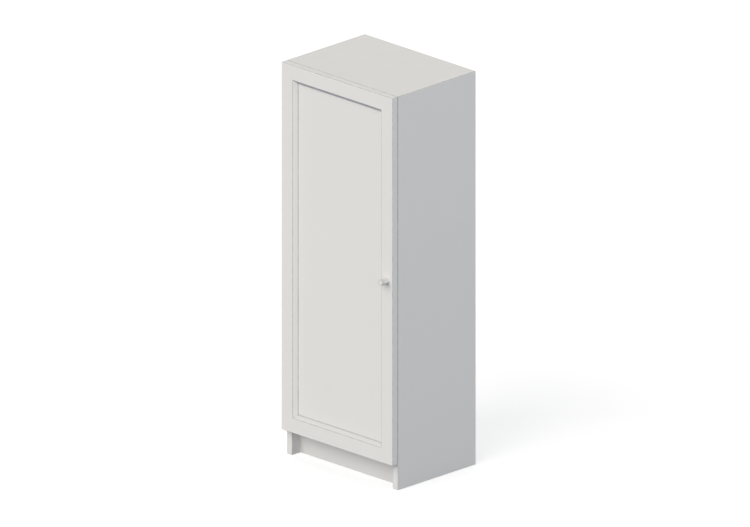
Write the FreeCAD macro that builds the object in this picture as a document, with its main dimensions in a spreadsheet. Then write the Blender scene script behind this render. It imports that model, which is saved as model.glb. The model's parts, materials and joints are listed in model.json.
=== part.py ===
import FreeCAD, Part
import os
from collections import defaultdict
from types import SimpleNamespace

import Sketcher

# A broom cupboard: a tall painted case with one framed lay-on door, hung on the left on three butt hinges.
# Frame: the front faces -Y, +X is to the right, +Z is up and the floor is z = 0. Depth runs from the knob to
# the back and is centred on y = 0. Lengths are millimetres.

SIZES = (
    ("cabinet_width", "600", "outside width of the case and of the door"),
    ("cabinet_depth", "450", "face of the door to the back"),
    ("cabinet_height", "1595", "floor to top"),
    ("gable_thick", "28", "thickness of the two sides"),
    ("top_thick", "28", "thickness of the top"),
    ("deck_thick", "28", "thickness of the bottom"),
    ("back_thick", "6", "thickness of the back"),
    ("rebate_width", "10", "width of the rebates that the back lies in"),
    ("back_play", "0.5", "room between the edge of the back and its rebate"),
    ("plinth_thick", "20", "thickness of the plinth board"),
    ("plinth_setback", "45", "front of the case to front of the plinth"),
    ("block_length", "60", "length of a glue block"),
    ("block_side", "25", "height and depth of a glue block"),
    ("block_inset", "82", "outer glue blocks to the gables"),
    ("block_screw_offset", "15", "screws of a glue block, off its middle"),
    ("rail_thick", "18", "thickness of the wall rail and of the peg rail"),
    ("wall_rail_height", "80", "height of the wall rail"),
    ("wall_hole_radius", "2.75", "hole for a wall screw"),
    ("wall_hole_pitch", "400", "distance between the wall screws"),
    ("shelf_thick", "22", "thickness of the shelf"),
    ("shelf_depth", "190", "depth of the shelf"),
    ("shelf_drop", "290", "underside of the top to underside of the shelf"),
    ("shelf_side_play", "1", "room between the shelf and a gable"),
    ("support_inset", "30", "shelf support to the edge of the shelf"),
    ("support_radius", "2.5", "pin of a shelf support"),
    ("support_clear", "0.5", "pin of a shelf support below the shelf"),
    ("support_depth", "9", "pin of a shelf support inside the gable"),
    ("support_root", "6", "pin of a shelf support under its tab"),
    ("tab_length", "11", "tab of a shelf support"),
    ("tab_width", "12", "tab of a shelf support"),
    ("tab_thick", "3", "tab of a shelf support"),
    ("peg_rail_height", "70", "height of the peg rail"),
    ("peg_rail_drop", "25", "underside of the shelf to the peg rail"),
    ("peg_pitch", "120", "distance between pegs"),
    ("peg_tenon_radius", "5", "tenon of a peg"),
    ("peg_tenon_length", "14", "tenon of a peg"),
    ("peg_base_radius", "8", "shank of a peg at the rail"),
    ("peg_neck_radius", "5.5", "shank of a peg behind its head"),
    ("peg_shank_length", "48", "rail to the neck of a peg"),
    ("peg_head_radius", "10", "head of a peg"),
    ("peg_flare_length", "10", "neck of a peg to the back of its head"),
    ("peg_head_length", "12", "head of a peg"),
    ("peg_rounding", "3", "rounding of the head of a peg"),
    ("door_thick", "28", "thickness of the door frame"),
    ("door_gap", "1.2", "gap between the closed door and the case"),
    ("door_bottom", "105", "floor to the lower edge of the door"),
    ("door_lap", "3", "lower edge of the door below the deck"),
    ("frame_face", "60", "flat face of the door frame"),
    ("bevel_width", "15", "moulding on the inner edge of the door frame"),
    ("quirk", "2", "step between the moulding and the panel"),
    ("panel_thick", "8", "thickness of the door panel"),
    ("panel_back_set", "3", "back of the panel to the back of the door"),
    ("groove_depth", "12", "groove of the door frame"),
    ("panel_play", "1.5", "room between the edge of the panel and its groove"),
    ("tenon_length", "35", "tenon of a door rail"),
    ("tenon_shoulder", "8", "shoulder beside a tenon"),
    ("tenon_room", "1", "room at the end of a tenon"),
    ("joint_play", "0.1", "room beside tenons, panel and let-in fittings"),
    ("knob_radius", "12.5", "radius of the knob"),
    ("knob_length", "35", "door face to the front of the knob"),
    ("knob_rounding", "2", "rounding of the front edge of the knob"),
    ("knob_bolt_radius", "2", "bolt of the knob"),
    ("knob_bolt_reach", "14", "bolt inside the knob"),
    ("knob_bore_room", "3", "bore of the knob past its bolt"),
    ("knob_bolt_head_radius", "4", "head of the knob bolt"),
    ("knob_bolt_head_length", "2.6", "head of the knob bolt"),
    ("knob_sink_play", "1", "counterbore around the washer"),
    ("knob_sink_room", "1.6", "counterbore above the head of the knob bolt"),
    ("knob_washer_radius", "5.5", "washer under the knob bolt"),
    ("knob_washer_thick", "0.8", "washer under the knob bolt"),
    ("hinge_height", "76", "height of a hinge"),
    ("hinge_inset", "150", "hinge to the end of the door"),
    ("leaf_width", "22", "hinge leaf let into the wood"),
    ("leaf_thick", "1.6", "thickness of a hinge leaf"),
    ("knuckle_wall", "1.6", "wall of a hinge barrel"),
    ("knuckle_stand", "0.4", "barrel of a hinge off the side of the case"),
    ("knuckle_play", "0.3", "room between two knuckles"),
    ("hinge_pin_radius", "2", "pin of a hinge"),
    ("hinge_pin_play", "0.05", "radial room around the hinge pin"),
    ("hinge_pin_head_radius", "3.3", "head of a hinge pin"),
    ("hinge_pin_head_length", "2.6", "head of a hinge pin"),
    ("hinge_pin_tail", "1.4", "end of a hinge pin below the barrel"),
    ("hinge_screw_end", "13", "screws of a leaf to its ends"),
    ("hinge_screw_edge", "7", "screws of a leaf to its edges"),
    ("catch_inset", "92", "catch to the right gable"),
    ("catch_length", "46", "housing of a catch"),
    ("catch_depth", "15", "housing of a catch"),
    ("catch_height", "12", "housing of a catch"),
    ("catch_set", "0.4", "housing of a catch behind its pole plates"),
    ("magnet_length", "22", "magnet of a catch"),
    ("magnet_depth", "11", "magnet of a catch"),
    ("magnet_height", "4.6", "magnet of a catch"),
    ("pole_thick", "1.2", "pole plate of a catch"),
    ("catch_screw_offset", "17", "screws of a catch, off its middle"),
    ("strike_length", "40", "strike plate"),
    ("strike_height", "12", "strike plate"),
    ("strike_play", "0.2", "strike plate to its catch"),
    ("strike_screw_offset", "14", "screws of a strike plate, off its middle"),
    ("bumper_radius", "4", "door bumper"),
    ("bumper_play", "0.2", "door bumper to the gable"),
    ("bumper_inset", "40", "door bumper to the end of the door"),
    ("dowel_radius", "4", "dowel"),
    ("dowel_length", "34", "dowel"),
    ("dowel_chamfer", "1", "dowel"),
    ("dowel_room", "1", "room at each end of a dowel"),
    ("dowel_offset", "32", "dowel to the cam fitting beside it"),
    ("fitting_rise", "10", "dowels and cam bolts above the underside of a panel"),
    ("cam_inset", "100", "cam fitting to the edge of a panel"),
    ("cam_radius", "7.4", "cam disc"),
    ("cam_wall", "1.5", "cam disc above its slot"),
    ("cam_slot_play", "0.5", "slot of a cam disc around the bolt"),
    ("cam_slot_room", "3.5", "slot of a cam disc past the bolt"),
    ("cam_cross_width", "1.6", "driver recess of a cam disc"),
    ("cam_cross_depth", "2.5", "driver recess of a cam disc"),
    ("bolt_thread_radius", "2.5", "thread of a cam bolt"),
    ("bolt_thread_length", "10", "thread of a cam bolt"),
    ("bolt_shank_radius", "3", "shank of a cam bolt"),
    ("bolt_shank_length", "19", "shank of a cam bolt"),
    ("bolt_neck_radius", "1.8", "neck of a cam bolt"),
    ("bolt_neck_length", "4", "neck of a cam bolt"),
    ("bolt_head_length", "3", "head of a cam bolt"),
    ("hinge_screw_head", "3.4", "head radius, screws of hinges and catches"),
    ("hinge_screw_shank", "1.75", "shank radius, screws of hinges and catches"),
    ("hinge_screw_length", "20", "screws of hinges and catches"),
    ("panel_screw_head", "3", "head radius, screws of back and strike plates"),
    ("panel_screw_shank", "1.5", "shank radius, screws of back and strike plates"),
    ("panel_screw_bite", "10", "screws of the back in the wood behind it"),
    ("block_screw_head", "4", "head radius, screws of glue blocks"),
    ("block_screw_shank", "2", "shank radius, screws of glue blocks"),
    ("block_screw_bite", "13", "screws of glue blocks in plinth and deck"),
    ("screw_rim", "0.3", "straight rim of a countersunk head"),
    ("screw_cross_width", "0.9", "driver recess of a screw"),
    ("screw_cross_depth", "1.2", "driver recess of a screw"),
    ("screw_play", "0.1", "radial room around screws, bolts and dowels"),
    ("back_screw_edge", "40", "underside of the top to the upper side screw of the back"),
    ("back_screw_pitch", "260", "distance between the side screws of the back"),
    ("back_screw_inset", "92", "outer screws along the top and the bottom of the back to the gables"),
)

KNUCKLES = 5
PEGS = 4
RIM_TOLERANCE = 0.01


class Length:
    """A length of the cupboard: its formula for the spreadsheet and its value."""

    def __init__(self, text, value):
        self.text = text
        self.value = value

    def join(self, sign, other, value):
        return Length(f"({self.text} {sign} {other.text})", value)

    def __add__(self, other):
        other = length(other)
        return self.join("+", other, self.value + other.value)

    def __radd__(self, other):
        return length(other) + self

    def __sub__(self, other):
        other = length(other)
        return self.join("-", other, self.value - other.value)

    def __rsub__(self, other):
        return length(other) - self

    def __mul__(self, other):
        other = length(other)
        return self.join("*", other, self.value * other.value)

    def __rmul__(self, other):
        return length(other) * self

    def __truediv__(self, other):
        other = length(other)
        return self.join("/", other, self.value / other.value)

    def __neg__(self):
        return Length(f"(-{self.text})", -self.value)


def length(number):
    """A plain number as a Length; a Length stays what it is."""
    if isinstance(number, Length):
        return number
    return Length(repr(float(number)), float(number))


def fill_sheet(doc):
    """Spreadsheet with one aliased cell for each size, and the sizes as Lengths."""
    sheet = doc.addObject("Spreadsheet::Sheet", "Sizes")
    sizes = SimpleNamespace()
    for row, (alias, millimetres, note) in enumerate(SIZES, start=1):
        sheet.set(f"A{row}", note)
        sheet.set(f"B{row}", millimetres)
        sheet.setAlias(f"B{row}", alias)
        setattr(sizes, alias, Length(f"Sizes.{alias}", float(millimetres)))
    doc.recompute()
    return sizes


doc = FreeCAD.newDocument("broom_cupboard")
s = fill_sheet(doc)

# Planes of the cupboard that several pieces share.
x_out = s.cabinet_width / 2
x_in = x_out - s.gable_thick
y_face = (s.knob_length - s.cabinet_depth) / 2
y_door = y_face + s.door_thick
y_case = y_door + s.door_gap
y_back = y_face + s.cabinet_depth
y_seat = y_back - s.back_thick
y_rail = y_seat - s.rail_thick
y_plinth = y_case + s.plinth_setback
y_block = y_plinth + s.plinth_thick
z_top = s.cabinet_height
z_roof = z_top - s.top_thick
z_door = s.door_bottom
z_deck = z_door + s.door_lap
z_floor = z_deck + s.deck_thick
z_shelf = z_roof - s.shelf_drop
z_pegs = z_shelf - s.peg_rail_drop - s.peg_rail_height / 2
y_groove = y_door - s.panel_back_set - s.panel_thick
y_bevel = y_groove - s.quirk
knuckle_radius = s.hinge_pin_radius + s.hinge_pin_play + s.knuckle_wall
x_pin = -x_out - s.knuckle_stand - knuckle_radius
y_pin = y_door + s.door_gap / 2
cam_reach = s.bolt_shank_length + s.bolt_neck_length + s.bolt_head_length / 2

# Ways that a piece made upright at the origin can be turned: its own +Z goes to the named direction.
UP = FreeCAD.Vector(0, 0, 1)
TURN = {
    "up": FreeCAD.Rotation(),
    "down": FreeCAD.Rotation(UP, FreeCAD.Vector(0, 0, -1)),
    "left": FreeCAD.Rotation(UP, FreeCAD.Vector(-1, 0, 0)),
    "right": FreeCAD.Rotation(UP, FreeCAD.Vector(1, 0, 0)),
    "front": FreeCAD.Rotation(UP, FreeCAD.Vector(0, -1, 0)),
    "back": FreeCAD.Rotation(UP, FreeCAD.Vector(0, 1, 0)),
    "half": FreeCAD.Rotation(UP, 180),
}

nodes = []
tools = defaultdict(list)
members = defaultdict(list)


def place(item, spot, turn="up"):
    """Puts an object at a spot of Lengths, turned."""
    item.Placement = FreeCAD.Placement(FreeCAD.Vector(), TURN[turn])
    for axis, value in zip("xyz", spot):
        item.setExpression(f"Placement.Base.{axis}", length(value).text)
    return item


def span(one, other):
    """Two planes in rising order."""
    return (one, other) if one.value < other.value else (other, one)


def box(name, x, y, z):
    """Box between two planes along each axis."""
    item = doc.addObject("Part::Box", name)
    for side, (low, high) in zip(("Length", "Width", "Height"), (x, y, z)):
        item.setExpression(side, (length(high) - low).text)
    return place(item, (x[0], y[0], z[0]))


def rod(name, spot, turn, radius, height):
    """Cylinder from a spot along a direction."""
    item = doc.addObject("Part::Cylinder", name)
    item.setExpression("Radius", length(radius).text)
    item.setExpression("Height", length(height).text)
    return place(item, spot, turn)


def copy(master, spot, turn="up"):
    """Another copy of a piece that was made at the origin."""
    item = doc.addObject("App::Link", f"{master.Name}_copy")
    item.LinkedObject = master
    item.LinkTransform = False
    return place(item, spot, turn)


def bundle(name, items):
    """Several separate solids as one object."""
    item = doc.addObject("Part::Compound", name)
    item.Links = items
    return item


def fuse(name, items):
    """Several touching solids as one solid."""
    item = doc.addObject("Part::MultiFuse", name)
    item.Shapes = items
    return item


def cut(name, base, cutters):
    """A solid less its cutters."""
    item = doc.addObject("Part::Cut", name)
    item.Base = base
    item.Tool = cutters[0] if len(cutters) == 1 else bundle(f"{name}_cutters", cutters)
    return item


def node(item, solids=1):
    """Marks an object as a finished piece of the cupboard."""
    nodes.append((item, solids))
    return item


def board(name, x, y, z):
    """Straight board with the holes and housings that other pieces asked for."""
    blank = box(f"{name}_blank", x, y, z)
    return node(cut(name, blank, tools[name]))


def outline(body, name, plane, offset, corners):
    """Closed straight-sided sketch in a plane of the body, each corner bound to the sheet."""
    sketch = body.newObject("Sketcher::SketchObject", name)
    support = [item for item in body.Origin.OriginFeatures if item.Role == plane]
    sketch.AttachmentSupport = [(support[0], "")]
    sketch.MapMode = "FlatFace"
    sketch.setExpression("AttachmentOffset.Base.z", length(offset).text)
    corners = [(length(across), length(along)) for across, along in corners]
    points = [FreeCAD.Vector(across.value, along.value, 0) for across, along in corners]
    for index, point in enumerate(points):
        sketch.addGeometry(Part.LineSegment(point, points[(index + 1) % len(points)]), False)
    for index, corner in enumerate(corners):
        sketch.addConstraint(Sketcher.Constraint("Coincident", index, 2, (index + 1) % len(corners), 1))
        for axis, value in zip("XY", corner):
            rule = Sketcher.Constraint(f"Distance{axis}", -1, 1, index, 1, value.value)
            title = f"corner_{index}_{axis}"
            sketch.renameConstraint(sketch.addConstraint(rule), title)
            sketch.setExpression(f"Constraints.{title}", value.text)
    return sketch


def turned(name, profile):
    """Round body about its own Z axis, from a half profile of radius and height."""
    body = doc.addObject("PartDesign::Body", name)
    spin = body.newObject("PartDesign::Revolution", f"{name}_turning")
    spin.Profile = outline(body, f"{name}_profile", "XZ_Plane", 0, profile)
    spin.ReferenceAxis = (spin.Profile[0], ["V_Axis"])
    spin.Angle = 360
    body.Tip = spin
    doc.recompute()
    return body


def round_rims(body, radius, rims):
    """Rounds those rims of a turned body that have the given radius and height."""
    base = body.Tip
    names = []
    for index, edge in enumerate(base.Shape.Edges, start=1):
        reach = edge.BoundBox
        for rim_radius, rim_height in rims:
            misses = (
                reach.XMax - rim_radius.value,
                reach.ZMin - rim_height.value,
                reach.ZMax - rim_height.value,
            )
            if max(abs(miss) for miss in misses) < RIM_TOLERANCE:
                names.append(f"Edge{index}")
    rounding = body.newObject("PartDesign::Fillet", f"{body.Name}_rounding")
    rounding.Base = (base, names)
    rounding.setExpression("Radius", radius.text)
    body.Tip = rounding
    return body


def cross(name, span, width, depth, rise):
    """Cross-shaped driver recess, sunk from the height `rise` at the origin."""
    arms = []
    for index, (along, across) in enumerate(((span, width), (width, span))):
        x = (-along / 2, along / 2)
        y = (-across / 2, across / 2)
        arms.append(box(f"{name}_arm_{index}", x, y, (rise - depth, rise + s.screw_play)))
    return fuse(name, arms)


def screw(name, head, shank, long):
    """Countersunk screw with its head level at the origin, and the hole that it sits in."""
    play = s.screw_play
    neck = -s.screw_rim - (head - shank)
    whole = turned(f"{name}_turned", (
        (0, 0),
        (head, 0),
        (head, -s.screw_rim),
        (shank, neck),
        (shank, shank * 2 - long),
        (0, -long),
    ))
    hole = turned(f"{name}_hole", (
        (0, play),
        (head + play, play),
        (head + play, -s.screw_rim),
        (shank + play, neck),
        (shank + play, -long - play),
        (0, -long - play),
    ))
    recess = cross(f"{name}_cross", head + shank, s.screw_cross_width, s.screw_cross_depth, length(0))
    return cut(name, whole, [recess]), hole


def fasten(group, kind, spot, turn, pieces):
    """Adds one fastener to its group and its hole to the pieces that it goes through."""
    master, hole = kind
    members[group].append(copy(master, spot, turn))
    for piece in pieces:
        tools[piece].append(copy(hole, spot, turn))


def dowel_kind():
    """Dowel across a joint at the origin, and its hole."""
    half = s.dowel_length / 2
    slim = s.dowel_radius - s.dowel_chamfer
    wide = s.dowel_radius + s.screw_play
    deep = half + s.dowel_room
    peg = turned("dowel", (
        (0, half),
        (slim, half),
        (s.dowel_radius, half - s.dowel_chamfer),
        (s.dowel_radius, s.dowel_chamfer - half),
        (slim, -half),
        (0, -half),
    ))
    return peg, turned("dowel_hole", ((0, deep), (wide, deep), (wide, -deep), (0, -deep)))


def cam_bolt_kind():
    """Cam bolt with its thread below the origin and its head above, and its hole."""
    neck = s.bolt_shank_length + s.bolt_neck_length
    tip = neck + s.bolt_head_length
    play = s.screw_play
    bolt = turned("cam_bolt", (
        (0, -s.bolt_thread_length),
        (s.bolt_thread_radius, -s.bolt_thread_length),
        (s.bolt_thread_radius, 0),
        (s.bolt_shank_radius, 0),
        (s.bolt_shank_radius, s.bolt_shank_length),
        (s.bolt_neck_radius, s.bolt_shank_length),
        (s.bolt_neck_radius, neck),
        (s.bolt_shank_radius, neck),
        (s.bolt_shank_radius, tip),
        (0, tip),
    ))
    hole = turned("cam_bolt_hole", (
        (0, -s.bolt_thread_length - s.dowel_room),
        (s.bolt_thread_radius + play, -s.bolt_thread_length - s.dowel_room),
        (s.bolt_thread_radius + play, 0),
        (s.bolt_shank_radius + play, 0),
        (s.bolt_shank_radius + play, cam_reach),
        (0, cam_reach),
    ))
    return bolt, hole


def cam_disc_kind():
    """Cam disc that stands up from the origin with its slot towards -X, and its hole."""
    play = s.screw_play
    half = s.bolt_shank_radius + s.cam_slot_play
    thick = s.fitting_rise + half + s.cam_wall
    blank = rod("cam_disc_blank", (0, 0, 0), "up", s.cam_radius, thick)
    slot_x = (-s.cam_radius - play, s.bolt_head_length / 2 + s.cam_slot_room)
    slot_z = (s.fitting_rise - half, s.fitting_rise + half)
    slot = box("cam_disc_slot", slot_x, (-half, half), slot_z)
    recess = cross("cam_disc_cross", s.cam_radius, s.cam_cross_width, s.cam_cross_depth, s.cam_cross_depth)
    bore = rod("cam_disc_bore", (0, 0, -play), "up", s.cam_radius + play, thick + play * 2)
    return cut("cam_disc", blank, [slot, recess]), bundle("cam_disc_hole", [bore])


def support_kind():
    """Shelf support at the face of a gable on its -X side, its tab level at the origin, and its hole."""
    low = -s.support_radius - s.support_clear
    long = s.support_depth + s.support_root
    pin = rod("support_pin", (-s.support_depth, 0, low), "right", s.support_radius, long)
    tab_y = (-s.tab_width / 2, s.tab_width / 2)
    tab = box("support_tab", (0, s.tab_length), tab_y, (-s.tab_thick, 0))
    deep = s.support_depth + s.dowel_room
    bore = rod("support_bore", (-deep, 0, low), "right", s.support_radius + s.screw_play, deep)
    return fuse("support", [pin, tab]), bundle("support_hole", [bore])


dowel = dowel_kind()
cam_bolt = cam_bolt_kind()
cam_disc = cam_disc_kind()
support = support_kind()
hinge_screw = screw("hinge_screw", s.hinge_screw_head, s.hinge_screw_shank, s.hinge_screw_length)
panel_screw = screw(
    "panel_screw",
    s.panel_screw_head,
    s.panel_screw_shank,
    s.back_thick + s.panel_screw_bite,
)
block_screw = screw(
    "block_screw",
    s.block_screw_head,
    s.block_screw_shank,
    s.block_side + s.block_screw_bite,
)

GABLES = (
    ("left_gable", -x_in, "right", "up"),
    ("right_gable", x_in, "left", "half"),
)


def join_panel(panel, level):
    """Dowels and cam fittings between the gables and a panel whose underside is at a level."""
    rows = (y_case + s.cam_inset, y_seat - s.cam_inset)
    between = (rows[0] + s.dowel_offset, (y_case + y_seat) / 2, rows[1] - s.dowel_offset)
    height = level + s.fitting_rise
    for gable, x, inward, spin in GABLES:
        reach = cam_reach if inward == "right" else -cam_reach
        for y in between:
            fasten("dowels", dowel, (x, y, height), inward, (gable, panel))
        for y in rows:
            fasten("cam_bolts", cam_bolt, (x, y, height), inward, (gable, panel))
            fasten("cam_discs", cam_disc, (x + reach, y, level), spin, (panel,))


def dowel_rail(rail, y, low, high):
    """Two dowels at each end of an upright board between the gables."""
    quarter = (high - low) / 4
    for gable, x, inward, spin in GABLES:
        for z in (low + quarter, high - quarter):
            fasten("dowels", dowel, (x, y, z), inward, (gable, rail))


def screw_back():
    """Screws of the back panel, along the gables, the top and the deck."""
    side = x_in + s.rebate_width / 2
    first = z_roof - s.back_screw_edge
    rows = int((first.value - z_floor.value) // s.back_screw_pitch.value) + 1
    for gable, x in (("left_gable", -side), ("right_gable", side)):
        for row in range(rows):
            spot = (x, y_back, first - s.back_screw_pitch * row)
            fasten("back_screws", panel_screw, spot, "back", ("back_panel", gable))
    spread = x_in - s.back_screw_inset
    for x in (-spread, length(0), spread):
        above = (x, y_back, z_roof + s.rebate_width / 2)
        below = (x, y_back, z_deck + s.deck_thick / 2)
        fasten("back_screws", panel_screw, above, "back", ("back_panel", "top_panel"))
        fasten("back_screws", panel_screw, below, "back", ("back_panel", "deck_panel"))


def glue_blocks():
    """Three glue blocks in the corner of plinth and deck, each with one screw into either board."""
    blocks = []
    for index in (-1, 0, 1):
        middle = (x_in - s.block_inset) * index
        name = f"glue_block_{index + 2}"
        blank = box(
            f"{name}_blank",
            (middle - s.block_length / 2, middle + s.block_length / 2),
            (y_block, y_block + s.block_side),
            (z_deck - s.block_side, z_deck),
        )
        half = s.block_side / 2
        upright = (middle - s.block_screw_offset, y_block + half, z_deck - s.block_side)
        level = (middle + s.block_screw_offset, y_block + s.block_side, z_deck - half)
        fasten("block_screws", block_screw, upright, "down", (name, "deck_panel"))
        fasten("block_screws", block_screw, level, "back", (name, "plinth_board"))
        blocks.append(cut(name, blank, tools[name]))
    node(bundle("glue_blocks", blocks), len(blocks))


def case():
    """Gables, top, deck, back, plinth and the two rails."""
    rebate = s.rebate_width
    edge = rebate - s.back_play
    for gable, side in (("left_gable", -1), ("right_gable", 1)):
        across = span(x_in * side, (x_in + rebate) * side)
        tools[gable].append(box(f"{gable}_rebate", across, (y_seat, y_back), (z_deck, z_roof + rebate)))
    across = (-x_in - rebate, x_in + rebate)
    tools["top_panel"].append(box("top_rebate", across, (y_seat, y_back), (z_roof, z_roof + rebate)))
    wall_z = z_roof - s.wall_rail_height / 2
    for index in (-1, 1):
        spot = (s.wall_hole_pitch / 2 * index, y_rail, wall_z)
        hole = rod("wall_hole", spot, "back", s.wall_hole_radius, s.rail_thick + s.back_thick)
        tools["wall_rail"].append(hole)
        tools["back_panel"].append(hole)
    half_pegs = s.peg_rail_height / 2
    board("left_gable", (-x_out, -x_in), (y_case, y_back), (0, z_top))
    board("right_gable", (x_in, x_out), (y_case, y_back), (0, z_top))
    board("top_panel", (-x_in, x_in), (y_case, y_back), (z_roof, z_top))
    board("deck_panel", (-x_in, x_in), (y_case, y_seat), (z_deck, z_floor))
    board("back_panel", (-x_in - edge, x_in + edge), (y_seat, y_back), (z_deck, z_roof + edge))
    board("plinth_board", (-x_in, x_in), (y_plinth, y_block), (0, z_deck))
    board("wall_rail", (-x_in, x_in), (y_rail, y_seat), (z_roof - s.wall_rail_height, z_roof))
    board("peg_rail", (-x_in, x_in), (y_rail, y_seat), (z_pegs - half_pegs, z_pegs + half_pegs))


def shelf():
    """Half-depth shelf on four supports."""
    wide = x_in - s.shelf_side_play
    front = y_seat - s.shelf_depth
    for gable, x, inward, spin in GABLES:
        for y in (front + s.support_inset, y_seat - s.support_inset):
            fasten("shelf_supports", support, (x, y, z_shelf), spin, (gable,))
    node(box("shelf", (-wide, wide), (front, y_seat - s.back_play), (z_shelf, z_shelf + s.shelf_thick)))


def pegs():
    """Turned pegs of the peg rail."""
    neck = s.peg_neck_radius
    head = s.peg_head_radius
    flare = s.peg_shank_length
    crown = flare + s.peg_flare_length
    front = crown + s.peg_head_length
    master = turned("peg", (
        (0, -s.peg_tenon_length),
        (s.peg_tenon_radius, -s.peg_tenon_length),
        (s.peg_tenon_radius, 0),
        (s.peg_base_radius, 0),
        (neck, flare),
        (head, crown),
        (head, front),
        (0, front),
    ))
    round_rims(master, s.peg_rounding, ((neck, flare), (head, crown), (head, front)))
    deep = s.peg_tenon_length + s.dowel_room
    for index in range(PEGS):
        spot = (s.peg_pitch * (index - (PEGS - 1) / 2), y_rail, z_pegs)
        members["pegs"].append(copy(master, spot, "front"))
        tools["peg_rail"].append(rod("peg_hole", spot, "back", s.peg_tenon_radius + s.screw_play, deep))


def frame_tools(member, x, y, z):
    """Adds a box to what is cut from a member of the door frame."""
    tools[member].append(box(f"{member}_cutter", x, y, z))


def stile(name, side):
    """Upright member of the door frame, on the side -1 or 1."""
    outer = x_out * side
    flat = (x_out - s.frame_face) * side
    inner = (x_out - s.frame_face - s.bevel_width) * side
    foot = z_door + s.frame_face
    head = z_top - s.frame_face
    body = doc.addObject("PartDesign::Body", f"{name}_body")
    pad = body.newObject("PartDesign::Pad", f"{name}_pad")
    pad.Profile = outline(body, f"{name}_face", "XZ_Plane", -y_face, (
        (outer, z_door),
        (flat, z_door),
        (flat, foot),
        (inner, foot + s.bevel_width),
        (inner, head - s.bevel_width),
        (flat, head),
        (flat, z_top),
        (outer, z_top),
    ))
    pad.setExpression("Length", s.door_thick.text)
    pad.Reversed = True
    moulding = body.newObject("PartDesign::Pocket", f"{name}_moulding")
    moulding.Profile = outline(body, f"{name}_bevel", "XY_Plane", 0, (
        (flat, y_face),
        (inner, y_face),
        (inner, y_bevel),
    ))
    moulding.Type = "ThroughAll"
    moulding.Reversed = True
    body.Tip = moulding
    play = s.joint_play
    thick = (y_groove - play, y_groove + s.panel_thick + play)
    low = foot + s.bevel_width - s.groove_depth
    high = head - s.bevel_width + s.groove_depth
    across = span(inner, inner + s.groove_depth * side)
    frame_tools(name, across, thick, (low, high))
    deep = span(flat, flat + (s.tenon_length + s.tenon_room) * side)
    room = s.tenon_shoulder - play
    frame_tools(name, deep, thick, (z_door + room, foot - room))
    frame_tools(name, deep, thick, (head + room, z_top - room))
    node(cut(name, body, tools[name]))


def rail(name, edge, up):
    """Level member of the door frame from its outer edge, up (1) for the bottom rail or down (-1)."""
    wide = x_out - s.frame_face
    flat = edge + s.frame_face * up
    inner = flat + s.bevel_width * up
    body = doc.addObject("PartDesign::Body", f"{name}_body")
    pad = body.newObject("PartDesign::Pad", f"{name}_pad")
    pad.Profile = outline(body, f"{name}_face", "XZ_Plane", -y_face, (
        (-wide, edge),
        (wide, edge),
        (wide, flat),
        (wide - s.bevel_width, inner),
        (s.bevel_width - wide, inner),
        (-wide, flat),
    ))
    pad.setExpression("Length", s.door_thick.text)
    pad.Reversed = True
    moulding = body.newObject("PartDesign::Pocket", f"{name}_moulding")
    moulding.Profile = outline(body, f"{name}_bevel", "YZ_Plane", 0, (
        (y_face, flat),
        (y_face, inner),
        (y_bevel, inner),
    ))
    moulding.Type = "ThroughAll"
    moulding.Midplane = True
    body.Tip = moulding
    shoulder = s.tenon_shoulder * up
    level = span(edge + shoulder, flat - shoulder)
    thick = (y_groove, y_groove + s.panel_thick)
    tenons = [
        box(f"{name}_left_tenon", (-wide - s.tenon_length, -wide), thick, level),
        box(f"{name}_right_tenon", (wide, wide + s.tenon_length), thick, level),
    ]
    groove = span(inner, inner - s.groove_depth * up)
    reach = wide - s.bevel_width + s.groove_depth
    play = s.joint_play
    frame_tools(name, (-reach, reach), (thick[0] - play, thick[1] + play), groove)
    node(cut(name, fuse(f"{name}_tenoned", [body, *tenons]), tools[name]))


def door_frame():
    """Stiles, rails and panel of the door."""
    stile("door_hinge_stile", -1)
    stile("door_closing_stile", 1)
    rail("door_bottom_rail", z_door, 1)
    rail("door_top_rail", z_top, -1)
    inset = s.frame_face + s.bevel_width - s.groove_depth + s.panel_play
    wide = x_out - inset
    thick = (y_groove, y_groove + s.panel_thick)
    node(box("door_panel", (-wide, wide), thick, (z_door + inset, z_top - inset)))


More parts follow.
